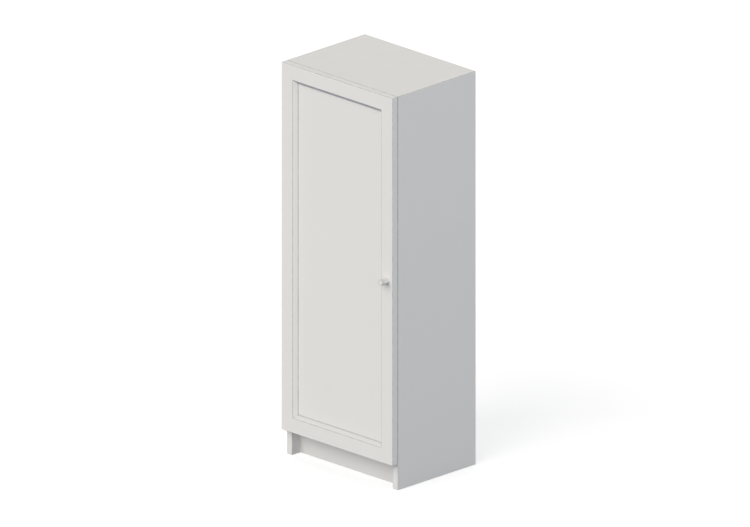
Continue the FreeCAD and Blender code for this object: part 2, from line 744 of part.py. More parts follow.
def knob():
    """Knob on the closing stile, with its bolt and washer sunk into the back of the stile."""
    x = x_out - s.frame_face / 2
    z = (z_door + z_top) / 2
    play = s.screw_play
    tight = s.knob_bolt_radius + play / 2
    bore = s.knob_bolt_reach + s.knob_bore_room
    body = turned("knob", (
        (tight, 0),
        (s.knob_radius, 0),
        (s.knob_radius, s.knob_length),
        (0, s.knob_length),
        (0, bore),
        (tight, bore),
    ))
    round_rims(body, s.knob_rounding, ((s.knob_radius, s.knob_length),))
    node(place(body, (x, y_face, z), "front"))
    deep = s.knob_washer_thick + s.knob_bolt_head_length + s.knob_sink_room
    y_sink = y_door - deep
    tools["door_closing_stile"].append(fuse("knob_bolt_hole", [
        rod("knob_bolt_way", (x, y_face, z), "back", s.knob_bolt_radius + play, s.door_thick),
        rod("knob_sink", (x, y_sink, z), "back", s.knob_washer_radius + s.knob_sink_play, deep),
    ]))
    washer = rod("knob_washer_blank", (x, y_sink, z), "back", s.knob_washer_radius, s.knob_washer_thick)
    eye = rod("knob_washer_eye", (x, y_sink, z), "back", s.knob_bolt_radius + play, s.knob_washer_thick)
    node(cut("knob_washer", washer, [eye]))
    shank = s.door_thick - deep + s.knob_washer_thick + s.knob_bolt_reach
    bolt = turned("knob_bolt_turned", (
        (0, -shank),
        (s.knob_bolt_radius, -shank),
        (s.knob_bolt_radius, 0),
        (s.knob_bolt_head_radius, 0),
        (s.knob_bolt_head_radius, s.knob_bolt_head_length),
        (0, s.knob_bolt_head_length),
    ))
    recess = cross(
        "knob_bolt_cross",
        s.knob_bolt_head_radius + s.knob_bolt_radius,
        s.screw_cross_width,
        s.screw_cross_depth,
        s.knob_bolt_head_length,
    )
    node(place(cut("knob_bolt", bolt, [recess]), (x, y_sink + s.knob_washer_thick, z), "back"))


def leaf(name, y, z, knuckles):
    """Hinge leaf in a band of depth, with its own knuckles of the barrel."""
    half = s.hinge_height / 2
    step = s.hinge_height / KNUCKLES
    parts = [box(f"{name}_plate", (-x_out, s.leaf_width - x_out), y, (z - half, z + half))]
    for index in knuckles:
        low = z - half + step * index + s.knuckle_play / 2
        tall = step - s.knuckle_play
        parts.append(box(f"{name}_web_{index}", (x_pin, -x_out), y, (low, low + tall)))
        parts.append(rod(f"{name}_knuckle_{index}", (x_pin, y_pin, low), "up", knuckle_radius, tall))
    bore = rod(
        f"{name}_bore",
        (x_pin, y_pin, z - half),
        "up",
        s.hinge_pin_radius + s.hinge_pin_play,
        s.hinge_height,
    )
    node(cut(name, fuse(f"{name}_blank", parts), [bore, *tools[name]]))


def hinge(name, z, pin):
    """Butt hinge let into the left gable and the hinge stile, with its pin."""
    half = s.hinge_height / 2
    play = s.joint_play
    sides = (
        ("cabinet", "left_gable", y_case, (y_case, y_case + s.leaf_thick), "front"),
        ("door", "door_hinge_stile", y_door, (y_door - s.leaf_thick, y_door), "back"),
    )
    for index, (side, wood, face, band, way) in enumerate(sides):
        label = f"{name}_hinge_{side}_leaf"
        x = (-x_out - play, s.leaf_width - x_out + play)
        frame_tools(wood, x, band, (z - half - play, z + half + play))
        far = s.leaf_width - s.hinge_screw_edge
        for row, inset in ((-1, far), (0, s.hinge_screw_edge), (1, far)):
            spot = (inset - x_out, face, z + (half - s.hinge_screw_end) * row)
            fasten(f"{side}_hinge_screws", hinge_screw, spot, way, (label, wood))
        leaf(label, band, z, range(index, KNUCKLES, 2))
    node(copy(pin, (x_pin, y_pin, z))).Label = f"{name}_hinge_pin"


def hinges():
    """Three hinges along the left edge of the door."""
    half = s.hinge_height / 2
    cap = half + s.hinge_pin_head_length
    base = half + s.knuckle_play / 2
    pin = turned("hinge_pin_master", (
        (0, -half - s.hinge_pin_tail),
        (s.hinge_pin_radius, -half - s.hinge_pin_tail),
        (s.hinge_pin_radius, base),
        (s.hinge_pin_head_radius, base),
        (s.hinge_pin_head_radius, cap),
        (0, cap),
    ))
    low = z_door + s.hinge_inset
    high = z_top - s.hinge_inset
    hinge("upper", high, pin)
    hinge("middle", (low + high) / 2, pin)
    hinge("lower", low, pin)


def catch(name, panel, rail_name, seat, up):
    """Magnetic catch on a panel at the height `seat`, standing on it (up is 1) or hanging from it (-1)."""
    middle = x_in - s.catch_inset
    levels = span(seat, seat + s.catch_height * up)
    z = seat + s.catch_height / 2 * up
    across = (middle - s.catch_length / 2, middle + s.catch_length / 2)
    depth = (y_case + s.catch_set, y_case + s.catch_set + s.catch_depth)
    magnet_x = (middle - s.magnet_length / 2, middle + s.magnet_length / 2)
    half = s.magnet_height / 2
    pole = half + s.pole_thick
    play = s.joint_play
    blank = box(f"{name}_blank", across, depth, levels)
    room = box(
        f"{name}_room",
        (magnet_x[0] - play, magnet_x[1] + play),
        (y_case, y_case + s.magnet_depth + play),
        (z - pole - play, z + pole + play),
    )
    for way in (-1, 1):
        spot = (middle + s.catch_screw_offset * way, (depth[0] + depth[1]) / 2, seat + s.catch_height * up)
        fasten("catch_screws", hinge_screw, spot, "up" if up == 1 else "down", (name, panel))
        plate_z = span(z + half * way, z + pole * way)
        plate = box(f"{name}_pole", magnet_x, (y_case, y_case + s.magnet_depth), plate_z)
        members["catch_pole_plates"].append(plate)
    magnet_y = (y_case + s.catch_set, y_case + s.magnet_depth)
    members["catch_magnets"].append(box(f"{name}_magnet", magnet_x, magnet_y, (z - half, z + half)))
    node(cut(name, blank, [room, *tools[name]]))
    strike_name = f"{name}_strike"
    strike_thick = s.door_gap - s.strike_play
    strike = box(
        f"{strike_name}_blank",
        (middle - s.strike_length / 2, middle + s.strike_length / 2),
        (y_door, y_door + strike_thick),
        (z - s.strike_height / 2, z + s.strike_height / 2),
    )
    for way in (-1, 1):
        spot = (middle + s.strike_screw_offset * way, y_door + strike_thick, z)
        fasten("strike_screws", panel_screw, spot, "back", (strike_name, rail_name))
    members["strike_plates"].append(cut(strike_name, strike, tools[strike_name]))


def bumpers():
    """Soft discs on the back of the door, where it would strike the right gable."""
    x = x_out - s.gable_thick / 2
    thick = s.door_gap - s.bumper_play
    for z in (z_door + s.bumper_inset, z_top - s.bumper_inset):
        members["door_bumpers"].append(rod("bumper", (x, y_door, z), "back", s.bumper_radius, thick))


join_panel("top_panel", z_roof)
join_panel("deck_panel", z_deck)
dowel_rail("wall_rail", (y_rail + y_seat) / 2, z_roof - s.wall_rail_height, z_roof)
dowel_rail("peg_rail", (y_rail + y_seat) / 2, z_pegs - s.peg_rail_height / 2, z_pegs + s.peg_rail_height / 2)
dowel_rail("plinth_board", (y_plinth + y_block) / 2, length(0), z_deck)
screw_back()
glue_blocks()
shelf()
pegs()
catch("upper_catch", "top_panel", "door_top_rail", z_roof, -1)
catch("lower_catch", "deck_panel", "door_bottom_rail", z_floor, 1)
hinges()
bumpers()
knob()
case()
door_frame()
for group, copies in members.items():
    node(bundle(group, copies), len(copies))

doc.recompute()
for item in doc.Objects:
    if "Invalid" in item.State or "Error" in item.State:
        raise RuntimeError(f"{item.Label} does not build: {item.State}")

os.makedirs("parts", exist_ok=True)
for item, solids in nodes:
    shape = item.Shape
    if shape.isNull() or not shape.isValid():
        raise RuntimeError(f"{item.Label} has no valid shape")
    if len(shape.Solids) != solids:
        raise RuntimeError(f"{item.Label} has {len(shape.Solids)} solids in place of {solids}")
    shape.exportStep(f"parts/{item.Label}.step")
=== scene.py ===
"""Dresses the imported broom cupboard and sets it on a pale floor. All lengths are in metres."""

import json
import math
from functools import cache

import bmesh
import bpy
from bpy.props import FloatProperty, FloatVectorProperty, IntProperty, PointerProperty
from mathutils import Matrix, Vector
from mathutils.bvhtree import BVHTree


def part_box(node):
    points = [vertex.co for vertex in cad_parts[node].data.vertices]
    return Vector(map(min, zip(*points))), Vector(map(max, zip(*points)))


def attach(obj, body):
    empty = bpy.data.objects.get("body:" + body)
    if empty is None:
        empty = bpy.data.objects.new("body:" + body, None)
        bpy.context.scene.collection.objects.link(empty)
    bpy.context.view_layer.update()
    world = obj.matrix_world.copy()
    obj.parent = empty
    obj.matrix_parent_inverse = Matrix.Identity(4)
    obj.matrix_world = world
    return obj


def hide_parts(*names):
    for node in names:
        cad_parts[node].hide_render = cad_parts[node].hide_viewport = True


bl_info = {
    "name": "Broom cupboard",
    "version": (1, 0, 0),
    "blender": (4, 5, 0),
    "location": "3D View > Sidebar > Cupboard",
    "description": "Dresses a painted broom cupboard and sets the stage for its picture",
    "category": "Object",
}

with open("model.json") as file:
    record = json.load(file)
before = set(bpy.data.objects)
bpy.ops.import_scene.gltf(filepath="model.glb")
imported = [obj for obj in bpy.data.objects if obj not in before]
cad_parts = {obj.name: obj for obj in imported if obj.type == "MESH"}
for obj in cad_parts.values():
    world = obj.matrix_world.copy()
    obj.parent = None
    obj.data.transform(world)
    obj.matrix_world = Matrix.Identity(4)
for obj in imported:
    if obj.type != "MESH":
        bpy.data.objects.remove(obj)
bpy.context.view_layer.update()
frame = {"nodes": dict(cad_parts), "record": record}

BODY_OF = {
    node: body
    for body, nodes in frame["record"]["behaviour"]["bodies"].items()
    for node in nodes
}

# Boards by the way their grain runs.
UPRIGHT_BOARDS = ("left_gable", "right_gable")
LEVEL_BOARDS = ("top_panel", "deck_panel", "plinth_board", "wall_rail", "peg_rail", "shelf")
UPRIGHT_DOOR_PIECES = ("door_hinge_stile", "door_closing_stile", "door_panel")
SCREW_SETS = (
    "cabinet_hinge_screws",
    "door_hinge_screws",
    "catch_screws",
    "strike_screws",
    "back_screws",
    "block_screws",
)

# Corners of a peg from its tenon to its head: radius, height above the rail, rounding.
PEG_OUTLINE = (
    (0, -0.014, 0),
    (0.005, -0.014, 0.001),
    (0.005, 0, 0),
    (0.008, 0, 0.0006),
    (0.0055, 0.048, 0.004),
    (0.010, 0.058, 0.003),
    (0.010, 0.070, 0.004),
    (0, 0.070, 0),
)
# Hinge pins: radius, height of the head, and the rounding of tail and head as shares of these.
PIN_RADIUS = 0.002
PIN_HEAD = 0.00245
PIN_TAIL_ROUND = 0.4
PIN_HEAD_ROUND = 0.6
# Rounding of the knob's foot and rim, and how far a face leans outwards to be painted as its end.
KNOB_FOOT = 0.0004
KNOB_RIM = 0.002
LEANING = 0.08
# Rounding of a door bumper as a share of its thickness.
BUMPER_ROUND = 0.6
# Screws: rim and depth of the cross as shares of the head's radius, width of the cross as a share of
# its length, length of the tip in radii of the shank.
SCREW_RIM = 0.07
CROSS_DEPTH = 0.35
CROSS_WIDTH = 0.24
SCREW_TIP = 2
# Share of a screw's length past which it is all shank.
SHANK_FROM = 0.6

# Facets round turned pieces, and across one of their rounded corners.
ROUND_STEPS = 96
PIN_STEPS = 48
SCREW_STEPS = 32
CORNER_STEPS = 6
# How far from a corner an extra ring holds the shading, in roundings.
SUPPORT = 1.2

# How the loose triangles of a carried-over solid are joined, and which of its edges are sharp.
WELD = 2e-6
FLAT = math.radians(0.5)
CREASE = math.radians(35)
# The shortest edge that is eased on each kind of piece.
SHORT_ON_BOARD = 0.02
SHORT_ON_PLATE = 0.005
SHORT_ON_CATCH = 0.003
SHORT_ON_SUPPORT = 0.002
# How much more is taken off the moulded catch housings.
HOUSING_EASE = 2
# A face is covered where one within CONTACT of it looks the other way, with a cosine under AGAINST.
# Both faces of an edge are tried INSET from it, at these parts of its length.
CONTACT = 0.0004
AGAINST = -0.9
INSET = 0.0018
TRIES = (0.1, 0.5, 0.9)
# Cosine above which one edge runs straight on from another.
STRAIGHT = 0.999

# Places in the list of a board's coats, and how far a face looks up or down to take the last two.
UPRIGHT, ABOVE, BELOW = range(3)
STEEP = 0.5
# What hides the paint on some faces (rubbed wear; painted shade below; dust with painted shade above):
# the least share of it, and how much more its patches add.
COVER = {
    "rubbed": (0.6, 0.3),
    "thin": (0.42, 0.2),
    "dusty": (0.22, 0.16),
    "laden": (0.50, 0.16),
}
# How far the painted shade reaches on the ledge of the bottom moulding from the panel and from its
# mitres.
PANEL_SHADE_REACH = 0.008
MITRE_SHADE_REACH = 0.004
# Strength of the shine on bare and on dusty paint.
PAINT_SHINE = 0.3
DUSTY_SHINE = 0.2
# Warm tint in zinc plate, for red, green and blue.
ZINC_TINT = (1.02, 0.97, 0.84)

# How far the floor lies under the feet, how broad the lamps are, how far off the camera stands.
FLOOR_DROP = 0.0002
LAMP_SPREAD = math.radians(60)
CAMERA_DISTANCE = 9
# The floor as the eye sees it: a grey that takes the shadow, lifted to white by a glow.
FLOOR_GREY = (0.5, 0.5, 0.5)
FLOOR_GLOW = 0.62

# Shared by all the settings for a colour.
COLOUR = {"subtype": "COLOR", "min": 0, "max": 1}


class PaintSettings(bpy.types.PropertyGroup):
    """The brushed and rolled paint on every board."""

    colour: FloatVectorProperty(
        name="Paint",
        description="Colour of the satin paint",
        default=(0.79, 0.77, 0.743),
        **COLOUR,
    )
    rubbed: FloatVectorProperty(
        name="Rubbed edge",
        description="Colour where hands and cloths have thinned the paint on an edge",
        default=(0.40, 0.385, 0.36),
        **COLOUR,
    )
    # Dust and painted shade: darkens faces that look up.
    dust: FloatVectorProperty(
        name="Dust",
        description="Colour of the thin dust on faces that look up",
        default=(0.57, 0.567, 0.562),
        **COLOUR,
    )
    # Painted shade: the blue-grey colour of door faces that look down.
    undercoat: FloatVectorProperty(
        name="Undercoat",
        description="Colour of the undercoat that shows where faces look down and the paint is thin",
        default=(0.19, 0.24, 0.30),
        **COLOUR,
    )
    # Painted shade: darkens the knob's underside and the crease and mitres of the bottom ledge.
    dark_shade: FloatVectorProperty(
        name="Grime",
        description="Colour of the dirt under the knob and in the corner of the bottom moulding",
        default=(0.36, 0.362, 0.365),
        **COLOUR,
    )
    roughness: FloatProperty(
        name="Roughness",
        description="How matt the paint is",
        subtype="FACTOR",
        default=0.56,
        min=0,
        max=1,
    )
    stipple: FloatProperty(
        name="Stipple",
        description="Width of one dimple left by the roller",
        unit="LENGTH",
        default=0.0016,
        min=0.0002,
    )
    grain: FloatProperty(
        name="Grain",
        description="Spacing of the wood grain that shows through the paint",
        unit="LENGTH",
        default=0.0035,
        min=0.0005,
    )


class EdgeSettings(bpy.types.PropertyGroup):
    """How far the sharp edges are taken off."""

    board: FloatProperty(
        name="Boards",
        description="Width taken off the edges of boards and door members",
        unit="LENGTH",
        default=0.0014,
        min=0.0001,
    )
    panel: FloatProperty(
        name="Back and blocks",
        description="Width taken off the edges of the back and the glue blocks",
        unit="LENGTH",
        default=0.0006,
        min=0.0001,
    )
    fitting: FloatProperty(
        name="Fittings",
        description="Width taken off the edges of plates, catches and hinges",
        unit="LENGTH",
        default=0.0003,
        min=0.00005,
    )
    steps: IntProperty(
        name="Steps",
        description="Facets across one eased edge",
        default=3,
        min=1,
        max=8,
    )


class FittingSettings(bpy.types.PropertyGroup):
    """Colours of the bare wood, metal and plastic."""

    beech: FloatVectorProperty(
        name="Beech",
        description="Colour of the oiled beech between its flecks",
        default=(0.62, 0.42, 0.245),
        **COLOUR,
    )
    steel: FloatVectorProperty(
        name="Hinge steel",
        description="Colour of the brushed hinge leaves",
        default=(0.44, 0.435, 0.42),
        **COLOUR,
    )
    zinc: FloatVectorProperty(
        name="Zinc plate",
        description="Colour of the plated screws and plates",
        default=(0.50, 0.51, 0.53),
        **COLOUR,
    )
    plastic: FloatVectorProperty(
        name="Catch plastic",
        description="Colour of the moulded catch housings",
        default=(0.74, 0.73, 0.70),
        **COLOUR,
    )
    rubber: FloatVectorProperty(
        name="Bumper rubber",
        description="Colour of the soft door bumpers",
        default=(0.42, 0.42, 0.41),
        **COLOUR,
    )
    cross: FloatProperty(
        name="Screw cross",
        description="Length of the driver cross as a share of the head",
        subtype="FACTOR",
        default=0.62,
        min=0.1,
        max=0.9,
    )
    seed: IntProperty(
        name="Seed",
        description="Settles how far each screw was turned",
        default=7,
        min=0,
    )


class StageSettings(bpy.types.PropertyGroup):
    """Camera, light and floor."""

    azimuth: FloatProperty(
        name="Azimuth",
        description="How far the camera stands to the right of the front",
        subtype="ANGLE",
        default=math.radians(45),
    )
    elevation: FloatProperty(
        name="Elevation",
        description="Height of the camera above the horizon",
        subtype="ANGLE",
        default=math.asin(1 / 3),
    )
    view_width: FloatProperty(
        name="View width",
        description="Width of the picture at the cupboard",
        unit="LENGTH",
        default=2.8667,
        min=0.1,
    )
    aim: FloatVectorProperty(
        name="Aim",
        description="Point in the middle of the picture",
        subtype="XYZ",
        unit="LENGTH",
        default=(-0.00106, -0.00106, 0.8),
    )
    key: FloatProperty(
        name="Key light",
        description="Strength of the soft light from the front",
        default=2.17,
        min=0,
    )
    key_from: FloatVectorProperty(
        name="Key direction",
        description="Direction in which the key light stands",
        subtype="DIRECTION",
        default=(0, -0.84, 0.545),
    )
    key_colour: FloatVectorProperty(
        name="Key colour",
        description="Colour of the key light",
        default=(1.0, 0.98, 0.95),
        **COLOUR,
    )
    fill: FloatProperty(
        name="Fill light",
        description="Strength of the cool light from the right",
        default=1.39,
        min=0,
    )
    fill_from: FloatVectorProperty(
        name="Fill direction",
        description="Direction in which the fill light stands",
        subtype="DIRECTION",
        default=(1, 0, 0.02),
    )
    fill_colour: FloatVectorProperty(
        name="Fill colour",
        description="Colour of the fill light",
        default=(0.872, 0.936, 1.0),
        **COLOUR,
    )
    back: FloatProperty(
        name="Back light",
        description="Strength of the light from behind on the left",
        default=0.66,
        min=0,
    )
    back_from: FloatVectorProperty(
        name="Back direction",
        description="Direction in which the back light stands",
        subtype="DIRECTION",
        default=(-0.5, 0.5, 0.7071),
    )
    back_colour: FloatVectorProperty(
        name="Back colour",
        description="Colour of the back light",
        default=(0.96, 0.98, 1.0),
        **COLOUR,
    )
    sky: FloatVectorProperty(
        name="Room light",
        description="Colour of the even light from all round",
        default=(0.35, 0.35, 0.35),
        **COLOUR,
    )
    floor: FloatVectorProperty(
        name="Floor bounce",
        description="Colour of the light that the floor throws back up",
        default=(0.26, 0.295, 0.35),
        **COLOUR,
    )
    floor_width: FloatProperty(
        name="Floor width",
        description="Side of the square floor",
        unit="LENGTH",
        default=40,
        min=1,
    )


class CupboardSettings(bpy.types.PropertyGroup):
    """Everything that a user may change on the cupboard."""

    paint: PointerProperty(type=PaintSettings)
    edges: PointerProperty(type=EdgeSettings)
    fittings: PointerProperty(type=FittingSettings)
    stage: PointerProperty(type=StageSettings)


def settings():
    """The scene's cupboard settings."""
    return bpy.context.scene.cupboard


class Wire:
    """An output socket that takes part in expressions. Each operator adds a Math node beside it."""

    def __init__(self, socket):
        self.socket = socket

    def _math(self, operation, *values):
        node = self.socket.id_data.nodes.new("ShaderNodeMath")
        node.operation = operation
        for socket, value in zip(node.inputs, values):
            feed(socket, value)
        return Wire(node.outputs[0])

    def __add__(self, other):
        return self._math("ADD", self, other)

    def __radd__(self, other):
        return self._math("ADD", other, self)

    def __sub__(self, other):
        return self._math("SUBTRACT", self, other)

    def __rsub__(self, other):
        return self._math("SUBTRACT", other, self)

    def __mul__(self, other):
        return self._math("MULTIPLY", self, other)

    def __rmul__(self, other):
        return self._math("MULTIPLY", other, self)

    def __or__(self, other):
        return self._math("MAXIMUM", self, other)

    def __abs__(self):
        return self._math("ABSOLUTE", self)


def feed(socket, value):
    """Links a wire to a socket, or sets the socket's own value."""
    if isinstance(value, Wire):
        socket.id_data.links.new(value.socket, socket)
    else:
        socket.default_value = value


class Recipe:
    """A node tree that is filled one node at a time."""

    def __init__(self, tree):
        self.tree = tree
        tree.nodes.clear()

    def add(self, kind, setup=None, inputs=None, output=0):
        """Adds a node, its settings first, and returns one output. A list feeds one socket."""
        node = self.tree.nodes.new(kind)
        for name, value in (setup or {}).items():
            setattr(node, name, value)
        for name, value in (inputs or {}).items():
            for each in value if isinstance(value, list) else [value]:
                feed(node.inputs[name], each)
        return Wire(node.outputs[output]) if node.outputs else None


class Finish(Recipe):
    """The nodes of one material, read from the piece's own coordinates."""

    def __init__(self, name):
        self.material = bpy.data.materials.new(name)
        self.material.use_nodes = True
        super().__init__(self.material.node_tree)
        self.place = self.add("ShaderNodeTexCoord", output="Object")

    def axis(self, name, place=None):
        """One of the three coordinates."""
        return self.add("ShaderNodeSeparateXYZ", inputs={"Vector": place or self.place}, output=name)

    def stretched(self, along, ratio):
        """Coordinates that are drawn out along one axis, for grain and brush lines."""
        scale = [1.0, 1.0, 1.0]
        scale["xyz".index(along)] = 1 / ratio
        return self.add("ShaderNodeMapping", inputs={"Vector": self.place, "Scale": tuple(scale)})

    def noise(self, width, detail=2, roughness=0.5, place=None):
        """Even noise whose lumps are about one width across, from 0 to 1."""
        inputs = {
            "Vector": place or self.place,
            "Scale": 1 / width,
            "Detail": detail,
            "Roughness": roughness,
        }
        return self.add("ShaderNodeTexNoise", inputs=inputs)

    def ramp(self, factor, low, high):
        """Factor drawn out so that low becomes 0 and high becomes 1."""
        inputs = {"Value": factor, "From Min": low, "From Max": high}
        return self.add("ShaderNodeMapRange", {"interpolation_type": "SMOOTHSTEP"}, inputs)

    def mix(self, factor, first, second):
        """Colour between two colours."""
        setup = {"data_type": "RGBA"}
        inputs = {"Factor": factor, 6: opaque(first), 7: opaque(second)}
        return self.add("ShaderNodeMix", setup, inputs, output=2)

    def tones(self, factor, colour, low, high):
        """Colour between a darker and a lighter tone of one colour."""
        return self.mix(factor, shade(colour, low), shade(colour, high))

    def bump(self, height, depth):
        """Normal of a surface whose height of 0 to 1 stands for a depth in metres."""
        return self.add("ShaderNodeBump", inputs={"Distance": depth, "Height": height})

    def surface(self, **inputs):
        """Closes the material with its shader."""
        named = {name.replace("_", " "): value for name, value in inputs.items()}
        shader = self.add("ShaderNodeBsdfPrincipled", inputs=named)
        self.add("ShaderNodeOutputMaterial", inputs={"Surface": shader})
        return self.material


def opaque(colour):
    """A colour with its alpha, or a wire as it is."""
    return colour if isinstance(colour, Wire) else (*colour[:3], 1)


def shade(colour, factor):
    """A plain colour made darker or lighter."""
    return tuple(min(1, part * factor) for part in colour)


def swing(noise, amount):
    """Noise of 0 to 1 as a swing to both sides of 0."""
    return (noise - 0.5) * amount


def cover(state, patches):
    """Share of the paint that wear, painted shade, or dust with painted shade hides, more of it in
    patches.
    """
    least, more = COVER[state]
    return least + patches * more


def ledge_shade_mask(finish):
    """Painted shade mask: 1 along the panel and in the mitres on the ledge of the bottom moulding, and
    0 elsewhere.
    """
    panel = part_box("door_panel")[0].y
    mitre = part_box("door_closing_stile")[0].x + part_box("door_bottom_rail")[1].z
    # The sum of both is the same all along a mitre.
    to_mitre = abs(finish.axis("X")) + finish.axis("Z")
    by_panel = finish.ramp(finish.axis("Y"), low=panel - PANEL_SHADE_REACH, high=panel)
    by_mitre = finish.ramp(to_mitre, low=mitre - MITRE_SHADE_REACH, high=mitre)
    return by_panel | by_mitre


@cache
def painted(along, state):
    """Satin paint over timber: roller stipple, a ghost of the grain, a slow drift of tone. Some states
    add painted shade.
    """
    paint = settings().paint
    finish = Finish(f"{state}_paint_{along}")
    drift = finish.noise(width=0.45, detail=1)
    stipple = finish.noise(width=paint.stipple)
    grain = finish.noise(width=paint.grain, detail=3, place=finish.stretched(along, ratio=40))
    tone = 0.5 + swing(drift, 0.5) + swing(grain, 0.3)
    colour = finish.tones(tone, paint.colour, low=0.985, high=1.015)
    matt = paint.roughness
    shine = PAINT_SHINE
    if state == "rubbed":
        patch = finish.ramp(finish.noise(width=0.03, detail=3), low=0.35, high=0.65)
        colour = finish.mix(cover(state, patch), colour, paint.rubbed)
    # Painted shade: faces that look down mix towards the blue-grey.
    if state == "thin":
        streak = finish.noise(width=0.02, detail=3, place=finish.stretched(along, ratio=8))
        colour = finish.mix(cover(state, streak), colour, paint.undercoat)
    # Dust with painted shade darkens faces that look up.
    if state in ("dusty", "laden"):
        dust_shade_film = finish.noise(width=0.09, detail=3)
        colour = finish.mix(cover(state, dust_shade_film), colour, paint.dust)
        matt = 0.70 + dust_shade_film * 0.14
        shine = DUSTY_SHINE
    # Painted shade in the crease along the panel and in the mitres of the bottom ledge.
    if state == "laden":
        painted_shade = ledge_shade_mask(finish) * (0.75 + dust_shade_film * 0.3)
        colour = finish.mix(painted_shade, colour, paint.dark_shade)
    return finish.surface(
        Base_Color=colour,
        Roughness=matt + swing(stipple, 0.10) + swing(drift, 0.10),
        Normal=finish.bump(stipple * 0.6 + grain * 0.4, depth=0.00016),
        Specular_IOR_Level=shine,
    )


@cache
def knob_paint(middle, radius, part):
    """The knob's paint: dust with painted shade above and painted shade below on its side, wear towards
    the rim on its end.
    """
    paint = settings().paint
    finish = Finish(f"handled_paint_{part}")
    about = finish.add("ShaderNodeMapping", inputs={"Vector": finish.place, "Location": tuple(-middle)})
    stipple = finish.noise(width=paint.stipple)
    patch = finish.noise(width=0.012)
    strength = 0.72 + patch * 0.25
    coat = finish.tones(patch, paint.colour, low=0.98, high=1.02)
    if part == "side":
        # Dust with painted shade darkens the side towards the top; painted shade darkens it under the
        # axis.
        height = finish.axis("Z", about)
        dust_shade_film = finish.ramp(height, low=0.1 * radius, high=0.9 * radius) * 0.55
        coat = finish.mix(dust_shade_film, coat, paint.dust)
        wear_and_shade = finish.ramp(height, low=0.05 * radius, high=-0.8 * radius) * strength
        coat = finish.mix(wear_and_shade, coat, paint.dark_shade)
    else:
        across = finish.add("ShaderNodeMapping", inputs={"Vector": about, "Scale": (1, 0, 1)})
        reach = finish.add("ShaderNodeVectorMath", {"operation": "LENGTH"}, {0: across}, output="Value")
        wear_and_shade = finish.ramp(reach, low=0.6 * radius, high=radius) * strength
        coat = finish.mix(wear_and_shade, coat, paint.rubbed)
    return finish.surface(
        Base_Color=coat,
        Roughness=paint.roughness - 0.12 + swing(stipple, 0.10) + wear_and_shade * 0.15,
        Normal=finish.bump(stipple, depth=0.00012),
        Specular_IOR_Level=PAINT_SHINE,
    )


@cache
def painted_back():
    """Thin board with a sprayed, slightly fibrous coat."""
    paint = settings().paint
    finish = Finish("painted_back")
    fibre = finish.noise(width=0.004, detail=4, roughness=0.65)
    drift = finish.noise(width=0.30)
    tone = 0.5 + swing(fibre, 0.5) + swing(drift, 0.5)
    return finish.surface(
        Base_Color=finish.tones(tone, paint.colour, low=0.95, high=1),
        Roughness=0.60 + swing(fibre, 0.15),
        Normal=finish.bump(fibre, depth=0.00008),
    )


@cache
def oiled_beech(along):
    """Beech with its fine straight grain and short dark flecks."""
    beech = settings().fittings.beech
    finish = Finish(f"beech_{along}")
    figure = finish.noise(width=0.012, detail=3, place=finish.stretched(along, ratio=14))
    fleck = finish.noise(width=0.0007, detail=1, place=finish.stretched(along, ratio=7))
    fleck = finish.ramp(fleck, low=0.60, high=0.72)
    wood = finish.tones(figure, beech, low=0.82, high=1.12)
    return finish.surface(
        Base_Color=finish.mix(fleck * 0.55, wood, shade(beech, 0.52)),
        Roughness=0.48 + fleck * 0.12 + swing(figure, 0.10),
        Normal=finish.bump(figure * 0.5 - fleck * 0.5, depth=0.00005),
    )


@cache
def brushed_steel():
    """Plated hinge steel brushed along the knuckles."""
    finish = Finish("hinge_steel")
    lines = finish.noise(width=0.00022, detail=3, place=finish.stretched("z", ratio=60))
    cloud = finish.noise(width=0.02)
    steel = settings().fittings.steel
    tone = 0.5 + swing(lines, 0.5) + swing(cloud, 0.5)
    return finish.surface(
        Base_Color=finish.tones(tone, steel, low=0.88, high=1.10),
        Metallic=1.0,
        Roughness=0.30 + swing(lines, 0.22) + swing(cloud, 0.10),
        Normal=finish.bump(lines, depth=0.00001),
    )


@cache
def zinc_plate():
    """Bright zinc plate with its faint cloudy tints."""
    zinc = settings().fittings.zinc
    finish = Finish("zinc_steel")
    cloud = finish.noise(width=0.006, detail=3)
    tint = finish.ramp(finish.noise(width=0.011), low=0.35, high=0.70)
    plate = finish.tones(cloud, zinc, low=0.84, high=1.12)
    warm = tuple(part * share for part, share in zip(zinc, ZINC_TINT))
    return finish.surface(
        Base_Color=finish.mix(tint * 0.6, plate, warm),
        Metallic=1.0,
        Roughness=0.26 + cloud * 0.16,
        Normal=finish.bump(cloud, depth=0.000015),
    )


@cache
def cast_zinc():
    """Grainy die-cast zinc of the cam discs."""
    finish = Finish("cast_zinc")
    grit = finish.noise(width=0.0006, detail=3)
    cloud = finish.noise(width=0.006)
    dull = (0.40, 0.40, 0.41)
    bright = (0.54, 0.54, 0.55)
    return finish.surface(
        Base_Color=finish.mix(cloud, dull, bright),
        Metallic=1.0,
        Roughness=0.44 + swing(grit, 0.25),
        Normal=finish.bump(grit, depth=0.00006),
    )


@cache
def sintered_ferrite():
    """Dark pressed ferrite of the magnets."""
    finish = Finish("ferrite")
    grit = finish.noise(width=0.0005, detail=4, roughness=0.7)
    black = (0.022, 0.021, 0.023)
    grey = (0.075, 0.072, 0.074)
    return finish.surface(
        Base_Color=finish.mix(grit, black, grey),
        Roughness=0.62 + swing(grit, 0.20),
        Normal=finish.bump(grit, depth=0.00005),
    )


@cache
def moulded_plastic():
    """Spark-eroded texture of the catch housings."""
    plastic = settings().fittings.plastic
    finish = Finish("catch_plastic")
    spark = finish.noise(width=0.0004)
    flow = finish.noise(width=0.018)
    return finish.surface(
        Base_Color=finish.tones(flow, plastic, low=0.95, high=1.03),
        Roughness=0.46 + swing(spark, 0.14),
        Normal=finish.bump(spark, depth=0.00003),
    )


